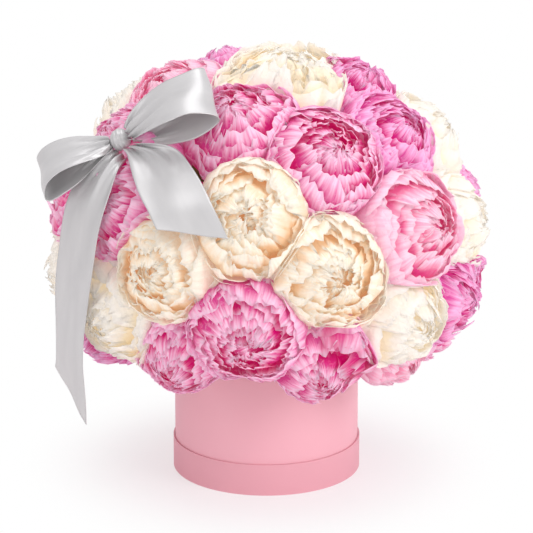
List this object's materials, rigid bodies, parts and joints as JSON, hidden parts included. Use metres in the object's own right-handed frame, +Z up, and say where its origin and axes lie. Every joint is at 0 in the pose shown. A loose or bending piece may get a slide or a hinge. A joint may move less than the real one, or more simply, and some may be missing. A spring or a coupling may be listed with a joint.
{
  "type": "flower box",
  "caption": "Round paper-covered hat box standing in its own upturned lid, planted with a dome of full peony blooms in floral foam, tied off with a satin bow and tails.",
  "frame": {"origin": "centre of the underside of the upturned lid, on the table", "axes": "+Z up along the box's axis; -Y is the front, -X the side with the bow"},
  "size_m": [0.4748, 0.4742, 0.4762],
  "materials": {
    "lid_board": "bare grey-cream board",
    "lid_wrap": "smooth matte pink covering paper",
    "box_board": "bare grey-cream board",
    "box_wrap": "smooth matte pink covering paper",
    "liner": "smooth white plastic",
    "foam": "soaked green floral foam, fine open grain",
    "stem": "smooth green stem",
    "calyx": "soft green leaves",
    "pick": "bare turned wood",
    "ribbon": "silver-grey satin",
    "petal_white": "soft creamy white petals",
    "petal_cream": "soft cream petals with a warm heart",
    "petal_pink": "soft pink petals, deeper at their bases",
    "petal_hot_pink": "deep magenta-pink petals with paler tips",
    "petal_pale_pink": "soft pale pink petals"
  },
  "bodies": {
    "lid": {"lid_top_board": "lid_board", "lid_band_board": "lid_board", "lid_top_paper": "lid_wrap", "lid_band_paper": "lid_wrap"},
    "box": {"box_tube": "box_board", "box_base": "box_board", "box_paper": "box_wrap"},
    "arrangement": {"foam_liner": "liner", "floral_foam": "foam", "flower_stems": "stem", "flower_calyxes": "calyx", "bow_pick": "pick", "bow_knot": "ribbon", "bow_loop_right": "ribbon", "bow_loop_left": "ribbon", "ribbon_tail_short": "ribbon", "ribbon_tail_long": "ribbon", "peony_crown": "petal_white", "peony_upper_front": "petal_pink", "peony_upper_left": "petal_pale_pink", "peony_upper_back_left": "petal_hot_pink", "peony_upper_right": "petal_hot_pink", "peony_shoulder_front": "petal_pink", "peony_shoulder_front_right": "petal_hot_pink", "peony_shoulder_right": "petal_white", "peony_shoulder_back_right": "petal_pale_pink", "peony_shoulder_back": "petal_pink", "peony_shoulder_back_left": "petal_white", "peony_shoulder_left": "petal_pink", "peony_face_centre": "petal_cream", "peony_face_left": "petal_pink", "peony_face_right": "petal_pale_pink", "peony_side_left": "petal_pink", "peony_waist_front_right": "petal_cream", "peony_waist_front_left": "petal_cream", "peony_waist_right": "petal_white", "peony_waist_side_right": "petal_hot_pink", "peony_waist_back_right": "petal_cream", "peony_waist_back": "petal_hot_pink", "peony_waist_back_left": "petal_pale_pink", "peony_waist_side_left": "petal_pink", "peony_waist_left": "petal_white", "peony_lower_front": "petal_pink", "peony_lower_front_right": "petal_white", "peony_lower_front_left": "petal_white", "peony_lower_right": "petal_hot_pink", "peony_lower_side_right": "petal_white", "peony_lower_back_right": "petal_pink", "peony_lower_back": "petal_white", "peony_lower_back_left": "petal_hot_pink", "peony_skirt_front_left": "petal_pink", "peony_skirt_front_right": "petal_pink", "peony_skirt_right": "petal_pale_pink", "peony_skirt_side_right": "petal_pink", "peony_skirt_back_right": "petal_hot_pink", "peony_skirt_back": "petal_pale_pink", "peony_skirt_back_left": "petal_white", "peony_skirt_side_left": "petal_pink", "peony_skirt_left": "petal_hot_pink"}
  },
  "joints": [
    {"name": "box_lift", "type": "slide", "parent": "lid", "child": "box", "axis": [0, 0, 1], "range_m": [0, 0.06]},
    {"name": "arrangement_lift", "type": "slide", "parent": "box", "child": "arrangement", "axis": [0, 0, 1], "range_m": [0, 0.2]}
  ]
}
